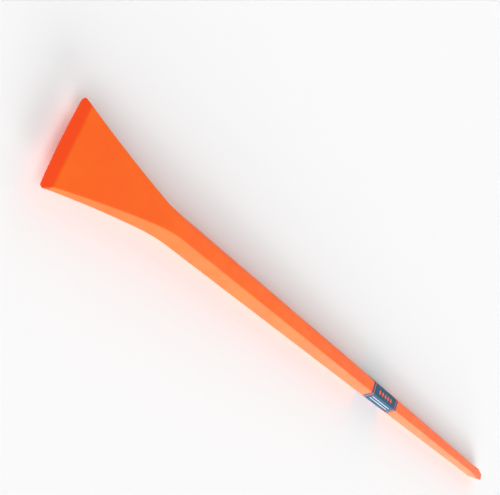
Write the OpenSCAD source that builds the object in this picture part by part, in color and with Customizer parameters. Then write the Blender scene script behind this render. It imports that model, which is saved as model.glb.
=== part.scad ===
// Digging bar: one hexagonal steel bar, forged into a flared chisel at one end and into a
// square two-stage point at the other, painted all over, with a wrapped label of thin film.
// The bar lies along X on one of its flats: chisel at -X with its broad face up, point at +X.
// The origin is under the middle of the bar, on the surface that it lies on.

/* [Bar] */
// Length from the cutting edge to the tip
bar_len = 1750; // [1200:10:2000]
// Size of the shaft's hexagon, across flats
hex_af = 30; // [26:0.5:32]

/* [Chisel] */
// Length of the flared blade, from the cutting edge to where its flanks meet the plain hexagon
blade_len = 154; // [140:1:200]
// Distance from the cutting edge to where the broad faces begin to thin
thin_from = 158; // [140:1:200]
// Width of the blade at the cutting edge, across its side ridges, before the corners are rounded
blade_w = 83; // [72:1:96]
// Thickness of the blade where the bevel begins
blade_t = 9.2; // [6:0.2:12]
// Radius that eases the slanted flats of the hexagon into the flare
neck_r = 330; // [200:10:400]
// Radius of the slightly hollow flanks of the blade
flank_r = 1600; // [1200:50:3000]
// Radius that eases the broad flats of the hexagon into the blade's faces
face_r = 400; // [200:20:600]
// Radius of the two corners of the cutting edge
corner_r = 2.5; // [2:0.5:12]
// Length of the bevel behind the cutting edge
bevel_len = 9; // [6:0.5:20]
// Thickness of the blunt cutting edge
edge_t = 0.8; // [0.4:0.1:2]
// Depth of the cutting edge below the middle of the blade
edge_drop = 1.2; // [0:0.1:1.8]

/* [Point] */
// Size of the square shoulder behind the point, across its flats
point_side = 25; // [22:0.5:25.5]
// Length over which the slanted flats of the hexagon run out into the square
change_len = 53; // [30:1:80]
// Length over which the broad flats draw in to the square
draw_len = 62; // [30:1:80]
// Radius that eases the flats into and out of this change
change_r = 300; // [100:20:400]
// Length of the long taper, from the shoulder to the tip's steeper taper
taper_len = 76; // [50:1:120]
// Size of the square where the steeper taper of the tip begins
tip_side = 15.5; // [10:0.5:20]
// Length of the tip's steeper taper
tip_len = 27; // [20:1:60]
// Radius that eases the long taper into the tip
tip_r = 70; // [20:10:140]
// Size of the square blunt end of the tip
tip_end = 3; // [1:0.2:4]

/* [Label] */
// Length of the label along the bar
label_len = 132; // [80:1:180]
// Distance of the label's middle from the cutting edge
label_from_edge = 780; // [300:5:900]
// Thickness of the label's film
label_t = 0.2; // [0.1:0.05:0.4]
// Height of the film's two long edges above the flat that the bar lies on, which stays bare
label_clear = 1.2; // [0.6:0.2:4]

/* [Hidden] */

// Angle between neighbouring flats of the hexagon, and half of it
hex_turn = 60;
hex_half = hex_turn / 2;
// Turn from the broad flats to the sides of the square point
square_turn = 90;
// Distance from the axis to the ridges between the slanted flats
ridge_r = hex_af / 2 / cos(hex_half);
// Height of the bar's axis when the bar lies on a flat
axis_z = hex_af / 2;
// Steps along each rounded stretch of an outline
arc_steps = 7;
// Width of the pressed outlines, which has to clear the blade
press_w = 2 * blade_w;
// Distance that the slanted flats pass outside the corners of the square shoulder
run_out = 0.5;

// Points on an arc, with angles measured from +X
function arc(centre, r, from, to) = [
    for (i = [0 : arc_steps])
        let (a = from + (to - from) * i / arc_steps)
            centre + r * [cos(a), sin(a)]
];

// Points that round the corner b of the path a, b, c with an arc of radius r
function eased(a, b, c, r) =
    let (
        heading = atan2(b[1] - a[1], b[0] - a[0]),
        turn = atan2(c[1] - b[1], c[0] - b[0]) - heading,
        side = sign(turn),
        start = b - r * tan(abs(turn) / 2) * [cos(heading), sin(heading)],
        centre = start + side * r * [-sin(heading), cos(heading)]
    )
    [
        for (i = [0 : arc_steps])
            let (h = heading + turn * i / arc_steps)
                centre + side * r * [sin(h), -cos(h)]
    ];

// Flank of the blade: the neck's arc leaves the slanted flat of the hexagon at blade_len and
// turns by neck_turn, where the flank's larger arc takes over and runs out to the ridge's end
ridge_end = [0, blade_w / 2 * cos(hex_half)];
neck_centre = [blade_len, hex_af / 2 + neck_r];
to_neck = neck_centre - ridge_end;
arc_gap = flank_r - neck_r;
neck_reach = (pow(flank_r, 2) - pow(arc_gap, 2) - to_neck * to_neck) / (2 * arc_gap);
neck_turn = asin(neck_reach / norm(to_neck)) - atan2(to_neck[1], to_neck[0]);
flank_centre = neck_centre + arc_gap * [sin(neck_turn), cos(neck_turn)];

// Rounded corner of the cutting edge, tangent to the edge and to the flank's arc
corner_y = flank_centre[1]
    - sqrt(pow(flank_r + corner_r, 2) - pow(flank_centre[0] - corner_r, 2));
corner_centre = [corner_r, corner_y];
to_flank = flank_centre - corner_centre;
flank_turn = atan2(to_flank[0], to_flank[1]);

// Broad face of the blade: a straight run from the bevel, tangent to the arc that leaves the
// broad flat of the hexagon at thin_from
bevel_top = [bevel_len, blade_t / 2];
face_centre = [thin_from, hex_af / 2 - face_r];
to_face = face_centre - bevel_top;
face_slope = atan2(to_face[1], to_face[0]) + asin(face_r / norm(to_face));

// Stations of the point, measured from the cutting edge
tip_from = bar_len - tip_len;
shoulder_from = tip_from - taper_len;
change_from = shoulder_from - change_len;
draw_from = shoulder_from - draw_len;

// Corners of the square point's outline above the axis, the same across both pairs of sides
shoulder = [shoulder_from, point_side / 2];
tip_start = [tip_from, tip_side / 2];
tip = [bar_len, tip_end / 2];
tip_half = concat(eased(shoulder, tip_start, tip, tip_r), [tip]);

// Half of the outline across the broad flats: bevel, thinned blade, shaft and point. The
// cutting edge lies below the middle, so the bevel of the upper face is the deeper one
broad_flat = [[thin_from, hex_af / 2], [draw_from, hex_af / 2]];
function broad_half(edge_z) = concat(
    [[0, edge_z], bevel_top],
    arc(face_centre, face_r, 90 + face_slope, 90),
    eased(broad_flat[0], broad_flat[1], shoulder, change_r),
    [shoulder],
    tip_half
);

// Upper half of the outline across the slanted flats: flared flank and shaft, then a rise that
// lets the flats run out at the corners of the square shoulder
shoulder_d = point_side / 2 * (sin(hex_turn) + cos(hex_turn)) + run_out;
rise_end = [shoulder_from, shoulder_d];
slanted_flat = [[blade_len, hex_af / 2], [change_from, hex_af / 2]];
slanted_half = concat(
    arc(corner_centre, corner_r, 180, 90 - flank_turn),
    arc(flank_centre, flank_r, 270 - flank_turn, 270 - neck_turn),
    arc(neck_centre, neck_r, 270 - neck_turn, 270),
    eased(slanted_flat[0], slanted_flat[1], rise_end, change_r),
    [rise_end, [bar_len, shoulder_d]]
);

// Upper half of the outline across the sides of the square point. Its line through the shoulder
// meets the ridges of the hexagon where the change begins, and rises clear of the blade from there
side_slope = (ridge_r - point_side / 2) / change_len;
side_start = [0, ridge_r + side_slope * change_from];
side_half = concat(
    [side_start],
    eased(side_start, shoulder, tip_start, change_r),
    tip_half
);

// A half outline mirrored to the other side of the axis and listed backwards
function other_side(half) = [for (i = [len(half) - 1 : -1 : 0]) [half[i][0], -half[i][1]]];

// One pair of opposite faces: an outline along the bar, pressed right through it, with the
// pair's normal turned away from Z
module face_pair(turn, upper, lower)
    rotate([turn, 0, 0]) rotate([90, 0, 0])
        linear_extrude(height = press_w, center = true)
            polygon(concat(upper, other_side(lower)));

// Section of a hexagonal prism with flats above and below
module hexagon(af) circle(d = af / cos(hex_half), $fn = 6);

// The steel bar: what its four pairs of faces have in common
module forged_bar()
    color([0.99, 0.42, 0.10])
        translate([-bar_len / 2, 0, axis_z])
            intersection() {
                face_pair(0, broad_half(edge_t / 2 - edge_drop), broad_half(edge_t / 2 + edge_drop));
                face_pair(hex_turn, slanted_half, slanted_half);
                face_pair(-hex_turn, slanted_half, slanted_half);
                face_pair(square_turn, side_half, side_half);
            }

// The label: a film round five of the six flats of the shaft
module label()
    color([0.13, 0.30, 0.42])
        translate([label_from_edge - (bar_len + label_len) / 2, 0, axis_z])
            rotate([90, 0, 90]) linear_extrude(height = label_len)
                difference() {
                    hexagon(hex_af + 2 * label_t);
                    hexagon(hex_af);
                    translate([-hex_af, label_clear - 1.5 * hex_af]) square([2 * hex_af, hex_af]);
                }

forged_bar();
label();
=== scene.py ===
"""A digging bar: one painted forging with a wrapped label, lying on a pale floor.

The bar follows the rules of its solid. Each section is what four pairs of faces have in common,
and each pair follows an outline along the bar. Here the ridges between the faces are rounded as
well, and the label's film is bent round the same ridges.

Lengths are in metres and angles in degrees. Along the bar, places are measured from the cutting
edge. A section lies across the bar, with Y to the side and Z up from the bar's axis.
"""
import itertools
import math

import bmesh
import bpy
import numpy as np
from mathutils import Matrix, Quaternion, Vector, noise


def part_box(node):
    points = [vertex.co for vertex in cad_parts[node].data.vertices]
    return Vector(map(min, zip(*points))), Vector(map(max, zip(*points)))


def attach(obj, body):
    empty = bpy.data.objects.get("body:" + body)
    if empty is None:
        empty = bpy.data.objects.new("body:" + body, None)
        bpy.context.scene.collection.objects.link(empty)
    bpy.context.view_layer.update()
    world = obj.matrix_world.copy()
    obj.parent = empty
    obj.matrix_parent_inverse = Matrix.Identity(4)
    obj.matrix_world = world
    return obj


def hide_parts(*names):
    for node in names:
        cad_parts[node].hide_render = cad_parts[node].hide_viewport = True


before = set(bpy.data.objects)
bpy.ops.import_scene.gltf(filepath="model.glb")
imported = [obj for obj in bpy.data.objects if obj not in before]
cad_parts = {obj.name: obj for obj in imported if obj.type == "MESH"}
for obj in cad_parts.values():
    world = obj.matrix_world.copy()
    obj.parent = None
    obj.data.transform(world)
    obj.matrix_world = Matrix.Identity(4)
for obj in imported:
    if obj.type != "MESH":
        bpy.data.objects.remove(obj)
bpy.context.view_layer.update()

# Bar, from the frame
BAR_LOW, BAR_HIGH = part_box("forged_bar")
BAR_LEN = BAR_HIGH.x - BAR_LOW.x
HEX_AF = BAR_HIGH.z - BAR_LOW.z
AXIS_Z = BAR_LOW.z + HEX_AF / 2

# Angles of the hexagon
HEX_TURN = 60
HEX_HALF = HEX_TURN / 2

# Chisel
BLADE_LEN = 0.154
THIN_FROM = 0.158
BLADE_W = 0.083
BLADE_T = 0.0092
NECK_R = 0.330
FLANK_R = 1.600
FACE_R = 0.400
CORNER_R = 0.0025
BEVEL_LEN = 0.009
BEVEL_R = 0.003
EDGE_T = 0.0008
EDGE_DROP = 0.0012
EDGE_CROWN = 0.0013

# Point
POINT_SIDE = 0.025
CHANGE_LEN = 0.053
DRAW_LEN = 0.062
CHANGE_R = 0.300
TAPER_LEN = 0.076
TIP_SIDE = 0.0155
TIP_LEN = 0.027
TIP_R = 0.070
TIP_END = 0.003
RUN_OUT = 0.0005

# Stations of the point
TIP_FROM = BAR_LEN - TIP_LEN
SHOULDER_FROM = TIP_FROM - TAPER_LEN
CHANGE_FROM = SHOULDER_FROM - CHANGE_LEN
DRAW_FROM = SHOULDER_FROM - DRAW_LEN

# Radii of the ridges between the faces, and the places along the bar that have them
EDGE_ROUND = 0.0003
BLADE_ROUND = 0.0014
SHAFT_ROUND = 0.0022
POINT_ROUND = 0.0012
TIP_ROUND = 0.0005
RIDGES = (
    (0, EDGE_ROUND),
    (BEVEL_LEN, BLADE_ROUND),
    (BLADE_LEN, SHAFT_ROUND),
    (CHANGE_FROM, SHAFT_ROUND),
    (SHOULDER_FROM, POINT_ROUND),
    (TIP_FROM, POINT_ROUND),
    (BAR_LEN, TIP_ROUND),
)

# Shallow waves that forging leaves in the faces, and the share of their depth along the bar
WAVE_DEPTH = 0.00012
WAVE_SIZE = 0.035
WAVE_RISE = 3 * BEVEL_LEN
WAVE_FADE = BLADE_LEN
SHAFT_WAVES = 0.2
WAVES = (
    (0, 0),
    (WAVE_RISE, 1),
    (BLADE_LEN, 1),
    (BLADE_LEN + WAVE_FADE, SHAFT_WAVES),
    (DRAW_FROM - WAVE_FADE, SHAFT_WAVES),
    (SHOULDER_FROM, 1),
    (BAR_LEN, 0),
)

# Label: its sizes from the frame, and the number of flats that its film goes round
LABEL_LOW, LABEL_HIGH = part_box("label")
LABEL_LEN = LABEL_HIGH.x - LABEL_LOW.x
LABEL_T = LABEL_HIGH.z - BAR_HIGH.z
LABEL_CLEAR = LABEL_LOW.z - BAR_LOW.z
FILM_FLATS = 5

# Print of the label: diamonds and rules on the flats in turn, and bands round the ends
FLAT_W = (HEX_AF - 2 * SHAFT_ROUND) * math.tan(math.radians(HEX_HALF))
RIDGE_ARC = (SHAFT_ROUND + LABEL_T) * math.radians(HEX_TURN)
FLAT_PITCH = FLAT_W + RIDGE_ARC
DIAMOND_PITCH = 0.015
DIAMOND_LEN = 0.011
DIAMOND_W = 0.009
DIAMOND_ROW = 0.075
BAND_FROM_END = 0.008
BAND_W = 0.0024
RULE_GAP = 0.005
RULE_W = 0.001
RULE_LEN = 0.090

# Fineness of the meshes: points on arcs, quads across faces, steps round ridges and ends
ARC_POINTS = 25
SIDE_QUADS = 4
SLANTED_QUADS = 6
BROAD_QUADS = 12
ROUND_STEPS = 4
CORNER_STEPS = 12
EDGE_STEPS = 3
TIP_STEPS = 5
FILM_QUADS = 6
FILM_RINGS = 23

# Spacing of the sections along the bar, and how far the closer spacing reaches past a bend
BEVEL_STEP = 0.0002
END_STEP = 0.001
CHANGE_STEP = 0.002
BEND_STEP = 0.003
SHAFT_STEP = 0.020
BEND_MARGIN = 0.010
CHANGE_MARGIN = 0.020

# Smallest differences: points to weld, corners to take as touching, faces to take as parallel
WELD = 1e-6
TOUCH = 1e-7
PARALLEL = 1e-6

# Paint: tones as 0-255 screen values, sizes of its patches and its relief
PAINT_TONES = ((252, 95, 5), (255, 104, 9))
# Deeper, redder tone of the bevel: painted shade, standing for the bevel turned away from the light
BEVEL_SHADE_TONE = (254, 73, 2)
MOTTLE_SIZE = 0.05
MOTTLE_DETAIL = 4.0
PAINT_GLOSS_SIZE = 0.014
PEEL_SIZE = 0.0015
PEEL_DETAIL = 1.0
PEEL_HEIGHT = 0.0001
PEEL_STRENGTH = 0.8
SAG_SIZE = 0.022
SAG_HEIGHT = 0.0002
SAG_STRENGTH = 0.5
PAINT_SPECULAR = 0.35

# Film: tones of its ground and its inks, sizes of its patches and its ripples
NAVY_TONES = ((32, 76, 104), (38, 85, 114))
ORANGE_INK = (238, 98, 34)
WHITE_INK = (226, 233, 238)
NAVY_SIZE = 0.016
FILM_GLOSS_SIZE = 0.008
RIPPLE_SIZE = 0.006
RIPPLE_HEIGHT = 0.00005
RIPPLE_STRENGTH = 0.3
FILM_SPECULAR = 0.1

# Roughness of paint and film, and the usual range and detail of their noise
ROUGHNESS = (0.60, 0.70)
NOISE_RANGE = (0.3, 0.7)
NOISE_DETAIL = 2.0

# Floor
FLOOR_HALF = 30.0
FLOOR_TONE = (247, 247, 247)
FLOOR_ROUGHNESS = 0.9

# Lamps: the way towards each of them, its strength and its angle
LAMPS = {
    "key": (Vector((-0.35, -0.60, 0.71)), 2.05, 60),
    "rim": (Vector((0.70, -0.71, 0.07)), 4.6, 40),
    "back": (Vector((0.87, 0.28, 0.40)), 0.48, 40),
    "fill": (Vector((0.10, 0.90, 0.42)), 0.67, 60),
}

# Studio: white up to one height above the horizon, and dim from another one upwards
WHITE_TO = 0.30
DIM_FROM = 0.60
WHITE_STRENGTH = 1.0
DIM_STRENGTH = 0.05

# Camera: near the chisel, looking along the bar, at the angle of the photo's large picture
IMAGE_W = 500
SENSOR_W = 36.0
FOCAL_PIXELS = 629
CAMERA_PLACE = Vector((-1.1435, -0.1709, 0.4091))
CAMERA_AIM = Vector((-0.5756, 0.0501, 0.0))
CAMERA_ROLL = 97.9


def point(x, y):
    """A point of an outline: its place along the bar and its distance from the axis."""
    return np.array([x, y])


def arc(centre, radius, start, end):
    """Points on an arc, with angles measured from +X."""
    angles = np.radians(np.linspace(start, end, ARC_POINTS))
    return [centre + radius * point(math.cos(a), math.sin(a)) for a in angles]


def eased(a, b, c, radius):
    """Points that round the corner b of the path a, b, c with an arc."""
    heading = math.atan2(b[1] - a[1], b[0] - a[0])
    turn = math.atan2(c[1] - b[1], c[0] - b[0]) - heading
    side = math.copysign(1, turn)
    start = b - radius * math.tan(abs(turn) / 2) * point(math.cos(heading), math.sin(heading))
    centre = start + side * radius * point(-math.sin(heading), math.cos(heading))
    headings = np.linspace(heading, heading + turn, ARC_POINTS)
    return [centre + side * radius * point(math.sin(h), -math.cos(h)) for h in headings]


def tip_outline():
    """Long taper and steeper tip, the same across both pairs of the square point's sides."""
    shoulder = point(SHOULDER_FROM, POINT_SIDE / 2)
    start = point(TIP_FROM, TIP_SIDE / 2)
    tip = point(BAR_LEN, TIP_END / 2)
    return eased(shoulder, start, tip, TIP_R) + [tip]


def broad_outline(edge_z):
    """Broad faces: bevel, thinned blade, shaft and point."""
    bevel_top = point(BEVEL_LEN, BLADE_T / 2)
    face_centre = point(THIN_FROM, HEX_AF / 2 - FACE_R)
    to_face = face_centre - bevel_top
    slope = math.atan2(to_face[1], to_face[0]) + math.asin(FACE_R / np.linalg.norm(to_face))
    face = arc(face_centre, FACE_R, 90 + math.degrees(slope), 90)
    shoulder = point(SHOULDER_FROM, POINT_SIDE / 2)
    edge = point(0, edge_z)
    draw = eased(point(THIN_FROM, HEX_AF / 2), point(DRAW_FROM, HEX_AF / 2), shoulder, CHANGE_R)
    path = [edge, *eased(edge, bevel_top, face[0], BEVEL_R), *face, *draw, shoulder]
    return np.array(path + tip_outline())


def slanted_outline():
    """Slanted faces: flared flanks and shaft, then a rise that lets them run out at the square."""
    ridge_end = point(0, BLADE_W / 2 * math.cos(math.radians(HEX_HALF)))
    neck_centre = point(BLADE_LEN, HEX_AF / 2 + NECK_R)
    to_neck = neck_centre - ridge_end
    gap = FLANK_R - NECK_R
    reach = (FLANK_R**2 - gap**2 - to_neck @ to_neck) / (2 * gap)
    neck_turn = math.asin(reach / np.linalg.norm(to_neck)) - math.atan2(to_neck[1], to_neck[0])
    flank_centre = neck_centre + gap * point(math.sin(neck_turn), math.cos(neck_turn))
    corner_drop = math.sqrt((FLANK_R + CORNER_R) ** 2 - (flank_centre[0] - CORNER_R) ** 2)
    corner_centre = point(CORNER_R, flank_centre[1] - corner_drop)
    to_flank = flank_centre - corner_centre
    flank_turn = math.degrees(math.atan2(to_flank[0], to_flank[1]))
    neck_turn = math.degrees(neck_turn)
    turn = math.radians(HEX_TURN)
    rise_y = POINT_SIDE / 2 * (math.sin(turn) + math.cos(turn)) + RUN_OUT
    rise_end = point(SHOULDER_FROM, rise_y)
    path = arc(corner_centre, CORNER_R, 180, 90 - flank_turn)
    path += arc(flank_centre, FLANK_R, 270 - flank_turn, 270 - neck_turn)
    path += arc(neck_centre, NECK_R, 270 - neck_turn, 270)
    flat_end = point(CHANGE_FROM, HEX_AF / 2)
    path += eased(point(BLADE_LEN, HEX_AF / 2), flat_end, rise_end, CHANGE_R)
    return np.array(path + [rise_end, point(BAR_LEN, rise_y)])


def side_outline():
    """Sides of the square point. Ahead of it, they rise clear of the hexagon's ridges."""
    ridge_r = HEX_AF / 2 / math.cos(math.radians(HEX_HALF))
    slope = (ridge_r - POINT_SIDE / 2) / CHANGE_LEN
    start = point(0, ridge_r + slope * CHANGE_FROM)
    shoulder = point(SHOULDER_FROM, POINT_SIDE / 2)
    tip_start = point(TIP_FROM, TIP_SIDE / 2)
    return np.array([start, *eased(start, shoulder, tip_start, CHANGE_R), *tip_outline()])


UPPER = broad_outline(EDGE_T / 2 - EDGE_DROP)
LOWER = broad_outline(EDGE_T / 2 + EDGE_DROP)
SLANTED = slanted_outline()
SIDE = side_outline()

# Faces round a section: angle of the normal from +Y towards +Z, outline, quads across
FACES = (
    (0, SIDE, SIDE_QUADS),
    (HEX_HALF, SLANTED, SLANTED_QUADS),
    (90, UPPER, BROAD_QUADS),
    (180 - HEX_HALF, SLANTED, SLANTED_QUADS),
    (180, SIDE, SIDE_QUADS),
    (180 + HEX_HALF, SLANTED, SLANTED_QUADS),
    (270, LOWER, BROAD_QUADS),
    (360 - HEX_HALF, SLANTED, SLANTED_QUADS),
)

# Places of the upper and the lower face in that list
UPPER_PLACE = 2
LOWER_PLACE = 6


def direction(angle):
    """Unit vector across the bar at an angle from +Y towards +Z."""
    return np.array([math.cos(math.radians(angle)), math.sin(math.radians(angle))])


NORMALS = np.array([direction(angle) for angle, _, _ in FACES])


def meeting(reaches, i, j):
    """Point where the lines of two faces meet."""
    pair = [i % len(FACES), j % len(FACES)]
    return np.linalg.solve(NORMALS[pair], reaches[pair])


def held_in(reaches):
    """Distances of the faces, with each face that lies outside the section moved in to touch it."""
    corners = []
    for i, j in itertools.combinations(range(len(FACES)), 2):
        if abs(np.linalg.det(NORMALS[[i, j]])) < PARALLEL:
            continue
        corner = meeting(reaches, i, j)
        if (NORMALS @ corner < reaches + TOUCH).all():
            corners.append(corner)
    return (NORMALS @ np.array(corners).T).max(axis=1)


def section(reaches, radius):
    """Points round a section with rounded ridges, and the outward direction at each of them."""
    inner = held_in(reaches - radius)
    points = []
    outward = []
    for i, (angle, _, quads) in enumerate(FACES):
        start = meeting(inner, i - 1, i)
        end = meeting(inner, i, i + 1)
        for share in np.linspace(0, 1, quads + 1):
            points.append(start + share * (end - start) + radius * NORMALS[i])
            outward.append(NORMALS[i])
        turn = (FACES[(i + 1) % len(FACES)][0] - angle) % 360
        for step in range(1, ROUND_STEPS):
            way = direction(angle + turn * step / ROUND_STEPS)
            points.append(end + radius * way)
            outward.append(way)
    return np.array(points), np.array(outward)


def spread(start, end, step):
    """Evenly spaced stations from start up to, but without, end."""
    count = max(1, round((end - start) / step))
    return list(np.linspace(start, end, count, endpoint=False))


def quarter(radius, steps):
    """Depths of even steps round a quarter of a circle, from none to its radius."""
    return [radius * (1 - math.cos(a)) for a in np.linspace(0, math.pi / 2, steps + 1)]


def bar_stations():
    """Stations along the bar, close together where its outline bends."""
    stations = quarter(CORNER_R, CORNER_STEPS)[:-1] + quarter(EDGE_ROUND, EDGE_STEPS)[1:]
    runs = (
        (CORNER_R, END_STEP),
        (BEVEL_LEN - BEVEL_R / 2, BEVEL_STEP),
        (BEVEL_LEN + BEVEL_R / 2, BEND_STEP),
        (THIN_FROM + BEND_MARGIN, SHAFT_STEP),
        (DRAW_FROM - CHANGE_MARGIN, CHANGE_STEP),
        (SHOULDER_FROM + CHANGE_MARGIN, BEND_STEP),
        (TIP_FROM - BEND_MARGIN, END_STEP),
    )
    ends = [start for start, _ in runs[1:]] + [BAR_LEN - TIP_ROUND]
    for (start, step), end in zip(runs, ends):
        stations += spread(start, end, step)
    stations += [BAR_LEN - depth for depth in quarter(TIP_ROUND, TIP_STEPS)]
    return sorted(stations)


def value_at(s, steps):
    """Value at a station, between the values that are given at places along the bar."""
    places, values = zip(*steps)
    return float(np.interp(s, places, values))


def end_rounding(s):
    """Depth that the rounding of the cutting edge or of the tip takes off the section."""
    for gap, radius in ((s, EDGE_ROUND), (BAR_LEN - s, TIP_ROUND)):
        if gap < radius:
            return radius - math.sqrt(radius**2 - (radius - gap) ** 2)
    return 0.0


def crown(s, y):
    """Set-back of the slightly crowned cutting edge towards its corners, gone at the bevel's top."""
    return EDGE_CROWN * (y / (BLADE_W / 2)) ** 2 * max(0, 1 - s / BEVEL_LEN)


def wave_depth(place, s):
    """Depth of the waves at a place. They fade along the rolled shaft and towards both ends."""
    return WAVE_DEPTH * value_at(s, WAVES) * (1 + noise.noise(place / WAVE_SIZE)) / 2


def mesh_piece(name, points, faces, material):
    """A smooth-shaded mesh object with its doubled points welded."""
    made = bmesh.new()
    corners = [made.verts.new(p) for p in points]
    for face in faces:
        made.faces.new([corners[i] for i in face])
    bmesh.ops.remove_doubles(made, verts=made.verts, dist=WELD)
    bmesh.ops.recalc_face_normals(made, faces=made.faces)
    for face in made.faces:
        face.smooth = True
    mesh = bpy.data.meshes.new(name)
    made.to_mesh(mesh)
    made.free()
    mesh.materials.append(material)
    piece = bpy.data.objects.new(name, mesh)
    bpy.context.collection.objects.link(piece)
    return piece


def ring_faces(rings, around):
    """Quads between closed rings of points."""
    faces = []
    for k in range(rings - 1):
        low = k * around
        high = low + around
        for i in range(around):
            j = (i + 1) % around
            faces.append((low + i, low + j, high + j, high + i))
    return faces


def fan_faces(middle, path):
    """Triangles from one point to each step of a path of points."""
    return [(middle, *step) for step in itertools.pairwise(path)]


def edge_faces(around):
    """Faces that close the first section: quads from its upper to its lower face, fans at its ends."""
    counts = [quads + ROUND_STEPS for _, _, quads in FACES]
    upper = sum(counts[:UPPER_PLACE])
    upper_end = upper + BROAD_QUADS
    lower = sum(counts[:LOWER_PLACE])
    lower_end = lower + BROAD_QUADS
    faces = []
    for k in range(1, BROAD_QUADS - 1):
        faces.append((upper + k, upper + k + 1, lower_end - k - 1, lower_end - k))
    faces += fan_faces(upper_end - 1, range(upper_end, lower + 2))
    faces += fan_faces(upper + 1, [i % around for i in range(lower_end - 1, upper + around + 1)])
    return faces


def finish_piece(piece, node):
    """Evens out the shading of a piece and lets it stand for a node of the frame."""
    piece.modifiers.new("even_normals", "WEIGHTED_NORMAL")
    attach(piece, "root")
    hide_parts(node)


class Shader:
    """A material's node tree, with short calls to add and join its nodes."""

    def __init__(self, name):
        self.material = bpy.data.materials.new(name)
        self.material.use_nodes = True
        self.tree = self.material.node_tree
        self.surface = self.tree.nodes["Principled BSDF"]

    def feed(self, socket, value):
        """Joins an input to another node's output, or sets it to a value."""
        if isinstance(value, bpy.types.NodeSocket):
            self.tree.links.new(value, socket)
        else:
            socket.default_value = value

    def put(self, node, **values):
        """Feeds inputs by their names, with _ for a space."""
        for name, value in values.items():
            self.feed(node.inputs[name.replace("_", " ")], value)

    def add(self, kind, settings=None, **values):
        """A new node, with its settings and inputs."""
        node = self.tree.nodes.new("ShaderNode" + kind)
        for name, value in (settings or {}).items():
            setattr(node, name, value)
        self.put(node, **values)
        return node

    def calc(self, operation, *values):
        """Output of a Math node."""
        node = self.add("Math", {"operation": operation})
        for socket, value in zip(node.inputs, values):
            self.feed(socket, value)
        return node.outputs["Value"]

    def speckle(self, size, low=0.0, high=1.0, detail=NOISE_DETAIL):
        """Noise with grains of about this size, mapped to a range of values."""
        place = self.add("TexCoord").outputs["Object"]
        grain = self.add("TexNoise", Vector=place, Scale=1 / size, Detail=detail)
        span = self.add("MapRange", Value=grain.outputs["Fac"], To_Min=low, To_Max=high)
        self.put(span, From_Min=NOISE_RANGE[0], From_Max=NOISE_RANGE[1])
        return span.outputs["Result"]

    def blend(self, share, first, second):
        """Output of a colour mix, from the first colour to the second."""
        node = self.add("Mix", {"data_type": "RGBA"})
        # A Mix node's inputs 6 and 7 and its output 2 are the ones for colours
        for socket, value in zip((node.inputs[0], *node.inputs[6:8]), (share, first, second)):
            self.feed(socket, value)
        return node.outputs[2]

    def bump(self, height, distance, strength, under=None):
        """Normal of a bumped surface, over an earlier bump if there is one."""
        node = self.add("Bump", Height=height, Distance=distance, Strength=strength)
        if under is not None:
            self.put(node, Normal=under)
        return node.outputs["Normal"]

    def within(self, value, limit):
        """1 where a value lies nearer to 0 than the limit, and 0 elsewhere."""
        return self.calc("LESS_THAN", self.calc("ABSOLUTE", value), limit)


def colour(tone):
    """A colour given by its 0-255 screen values, as the linear values that shaders take."""
    linear = []
    for value in tone:
        v = value / 255
        linear.append(v / 12.92 if v <= 0.04045 else ((v + 0.055) / 1.055) ** 2.4)
    return (*linear, 1.0)


def paint_material():
    """Satin orange paint: slightly uneven in tone and gloss, with painted shade that makes the bevel
    deeper and redder, and with orange peel.
    """
    paint = Shader("orange_paint")
    tone = paint.blend(paint.speckle(MOTTLE_SIZE, detail=MOTTLE_DETAIL), *map(colour, PAINT_TONES))
    place = paint.add("SeparateXYZ", Vector=paint.add("TexCoord").outputs["Object"])
    # Painted shade: the bevel gets a deeper, redder tone, as if it were turned away from the light
    bevel_end = BAR_LOW.x + BEVEL_LEN
    bevel = paint.add("MapRange", Value=place.outputs["X"], To_Min=1.0, To_Max=0.0)
    paint.put(bevel, From_Min=bevel_end - BEVEL_R / 2, From_Max=bevel_end)
    tone = paint.blend(bevel.outputs["Result"], tone, colour(BEVEL_SHADE_TONE))
    peel = paint.bump(paint.speckle(PEEL_SIZE, detail=PEEL_DETAIL), PEEL_HEIGHT, PEEL_STRENGTH)
    sag = paint.bump(paint.speckle(SAG_SIZE), SAG_HEIGHT, SAG_STRENGTH, under=peel)
    gloss = paint.speckle(PAINT_GLOSS_SIZE, *ROUGHNESS)
    paint.put(paint.surface, Base_Color=tone, Roughness=gloss, Normal=sag)
    paint.put(paint.surface, Specular_IOR_Level=PAINT_SPECULAR)
    return paint.material


def print_mask(film, along, across):
    """Shares of orange and of white ink on the film."""
    flat = film.calc("ROUND", film.calc("DIVIDE", across, FLAT_PITCH))
    odd = film.calc("MODULO", film.calc("ABSOLUTE", flat), 2.0)
    even = film.calc("SUBTRACT", 1.0, odd)
    on_flat = film.calc("WRAP", across, FLAT_PITCH / 2, -FLAT_PITCH / 2)
    in_row = film.calc("WRAP", along, DIAMOND_PITCH / 2, -DIAMOND_PITCH / 2)
    reach_along = film.calc("DIVIDE", film.calc("ABSOLUTE", in_row), DIAMOND_LEN / 2)
    reach_across = film.calc("DIVIDE", film.calc("ABSOLUTE", on_flat), DIAMOND_W / 2)
    diamond = film.within(film.calc("ADD", reach_along, reach_across), 1.0)
    row = film.calc("MULTIPLY", film.within(along, DIAMOND_ROW / 2), even)
    from_end = film.calc("SUBTRACT", LABEL_LEN / 2 - BAND_FROM_END, film.calc("ABSOLUTE", along))
    band = film.within(from_end, BAND_W / 2)
    orange = film.calc("MAXIMUM", film.calc("MULTIPLY", diamond, row), band)
    from_middle = film.calc("SUBTRACT", RULE_GAP / 2, film.calc("ABSOLUTE", on_flat))
    rule = film.calc("MULTIPLY", film.within(from_middle, RULE_W / 2), film.within(along, RULE_LEN / 2))
    return orange, film.calc("MULTIPLY", rule, odd)


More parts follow.
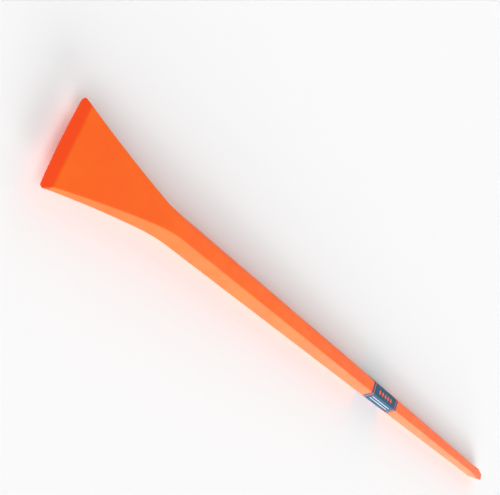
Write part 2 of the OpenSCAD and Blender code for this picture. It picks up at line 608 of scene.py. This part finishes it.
def film_material():
    """Navy film with plain orange diamonds and bands, and thin white rules."""
    film = Shader("label_film")
    place = film.add("SeparateXYZ", Vector=film.add("UVMap", {"uv_map": "print"}).outputs["UV"])
    orange, white = print_mask(film, place.outputs["X"], place.outputs["Y"])
    navy = film.blend(film.speckle(NAVY_SIZE), *map(colour, NAVY_TONES))
    ink = film.blend(orange, navy, colour(ORANGE_INK))
    ink = film.blend(white, ink, colour(WHITE_INK))
    ripples = film.bump(film.speckle(RIPPLE_SIZE), RIPPLE_HEIGHT, RIPPLE_STRENGTH)
    gloss = film.speckle(FILM_GLOSS_SIZE, *ROUGHNESS)
    film.put(film.surface, Base_Color=ink, Roughness=gloss, Normal=ripples)
    film.put(film.surface, Specular_IOR_Level=FILM_SPECULAR)
    return film.material


def floor_material():
    """Pale matt floor."""
    pale = Shader("pale_floor")
    pale.put(pale.surface, Base_Color=colour(FLOOR_TONE), Roughness=FLOOR_ROUGHNESS)
    pale.put(pale.surface, Specular_IOR_Level=0.0)
    return pale.material


def make_bar():
    """The forged bar, lofted through its sections and closed at both ends."""
    points = []
    stations = bar_stations()
    for s in stations:
        reaches = np.array([np.interp(s, *outline.T) for _, outline, _ in FACES])
        taken = end_rounding(s)
        ring, outward = section(reaches - taken, max(value_at(s, RIDGES) - taken, 0))
        for (y, z), way in zip(ring, outward):
            place = Vector((BAR_LOW.x + s + crown(s, y), y, AXIS_Z + z))
            points.append(place - Vector((0, *way)) * wave_depth(place, s))
    around = len(points) // len(stations)
    faces = ring_faces(len(stations), around) + edge_faces(around)
    last_ring = range(len(points) - around, len(points))
    faces += fan_faces(len(points), [*last_ring, last_ring[0]])
    points.append(Vector((BAR_HIGH.x, 0, AXIS_Z)))
    bar = mesh_piece("painted_bar", points, faces, paint_material())
    finish_piece(bar, "forged_bar")


def film_edge(angle, height):
    """Point of a long edge of the film, on the flat whose normal has this angle."""
    on_flat = (HEX_AF / 2 + height) * direction(angle)
    along_flat = direction(angle + 90)
    return on_flat + (LABEL_CLEAR - HEX_AF / 2 - on_flat[1]) / along_flat[1] * along_flat


def film_path(height):
    """Points across the film at a height above the flats, from one long edge to the other."""
    radius = SHAFT_ROUND + height
    corner = (HEX_AF / 2 - SHAFT_ROUND) / math.cos(math.radians(HEX_HALF))
    angles = [HEX_TURN * k - HEX_HALF for k in range(FILM_FLATS)]
    path = []
    for angle in angles:
        start = corner * direction(angle - HEX_HALF) + radius * direction(angle)
        ridge = corner * direction(angle + HEX_HALF)
        end = ridge + radius * direction(angle)
        if angle == angles[0]:
            start = film_edge(angle, height)
        if angle == angles[-1]:
            end = film_edge(angle, height)
        path += [start + share * (end - start) for share in np.linspace(0, 1, FILM_QUADS + 1)]
        if angle != angles[-1]:
            turns = [HEX_TURN * step / ROUND_STEPS for step in range(1, ROUND_STEPS)]
            path += [ridge + radius * direction(angle + turn) for turn in turns]
    return np.array(path)


def make_label():
    """The label: a thin film bent round five flats, with its print laid out on it."""
    inner = film_path(0)
    outer = film_path(LABEL_T)
    steps = np.linalg.norm(np.diff(outer, axis=0), axis=1)
    across = np.concatenate([[0], np.cumsum(steps)])
    across -= across[-1] / 2
    ring = np.concatenate([outer, inner[::-1]])
    ring_across = np.concatenate([across, across[::-1]])
    places = np.linspace(LABEL_LOW.x, LABEL_HIGH.x, FILM_RINGS)
    points = [(x, y, AXIS_Z + z) for x in places for y, z in ring]
    faces = ring_faces(len(places), len(ring))
    for start in (0, len(points) - len(ring)):
        for i in range(len(outer) - 1):
            far = len(ring) - 1 - i
            faces.append((start + i, start + i + 1, start + far - 1, start + far))
    label = mesh_piece("label_wrap", points, faces, film_material())
    layer = label.data.uv_layers.new(name="print")
    middle = (LABEL_LOW.x + LABEL_HIGH.x) / 2
    # The film has no doubled points, so the mesh keeps their order
    for loop in label.data.loops:
        x = points[loop.vertex_index][0]
        layer.uv[loop.index].vector = (x - middle, ring_across[loop.vertex_index % len(ring)])
    finish_piece(label, "label")


def make_floor():
    """A plain floor under the bar."""
    sides = ((-1, -1), (1, -1), (1, 1), (-1, 1))
    corners = [(x * FLOOR_HALF, y * FLOOR_HALF, 0) for x, y in sides]
    floor = mesh_piece("floor", corners, [(0, 1, 2, 3)], floor_material())


def make_lamp(name, toward, strength, angle):
    """A distant soft lamp that shines from a direction."""
    light = bpy.data.lights.new(name, "SUN")
    light.energy = strength
    light.angle = math.radians(angle)
    lamp = bpy.data.objects.new(name, light)
    lamp.rotation_mode = "QUATERNION"
    lamp.rotation_quaternion = toward.to_track_quat("Z", "Y")
    bpy.context.collection.objects.link(lamp)


def make_studio():
    """Surroundings that are white round the horizon and dim overhead."""
    world = bpy.data.worlds.new("studio")
    bpy.context.scene.world = world
    world.use_nodes = True
    tree = world.node_tree
    place = tree.nodes.new("ShaderNodeTexCoord")
    height = tree.nodes.new("ShaderNodeSeparateXYZ")
    ramp = tree.nodes.new("ShaderNodeMapRange")
    ramp.interpolation_type = "SMOOTHSTEP"
    ramp.inputs["From Min"].default_value = WHITE_TO
    ramp.inputs["From Max"].default_value = DIM_FROM
    ramp.inputs["To Min"].default_value = WHITE_STRENGTH
    ramp.inputs["To Max"].default_value = DIM_STRENGTH
    background = tree.nodes["Background"]
    background.inputs["Color"].default_value = (1, 1, 1, 1)
    tree.links.new(place.outputs["Generated"], height.inputs["Vector"])
    tree.links.new(height.outputs["Z"], ramp.inputs["Value"])
    tree.links.new(ramp.outputs["Result"], background.inputs["Strength"])


def make_camera():
    """The camera, turned about its own axis as in the photo."""
    lens = bpy.data.cameras.new("camera")
    lens.sensor_width = SENSOR_W
    lens.lens = FOCAL_PIXELS / IMAGE_W * SENSOR_W
    camera = bpy.data.objects.new("camera", lens)
    level = (CAMERA_AIM - CAMERA_PLACE).to_track_quat("-Z", "Y")
    camera.location = CAMERA_PLACE
    camera.rotation_mode = "QUATERNION"
    camera.rotation_quaternion = level @ Quaternion((0, 0, 1), math.radians(CAMERA_ROLL))
    bpy.context.collection.objects.link(camera)
    bpy.context.scene.camera = camera


bpy.context.scene.view_settings.view_transform = "Standard"
make_camera()
make_floor()
make_studio()
for lamp_name, lamp_values in LAMPS.items():
    make_lamp(lamp_name, *lamp_values)
make_bar()
make_label()
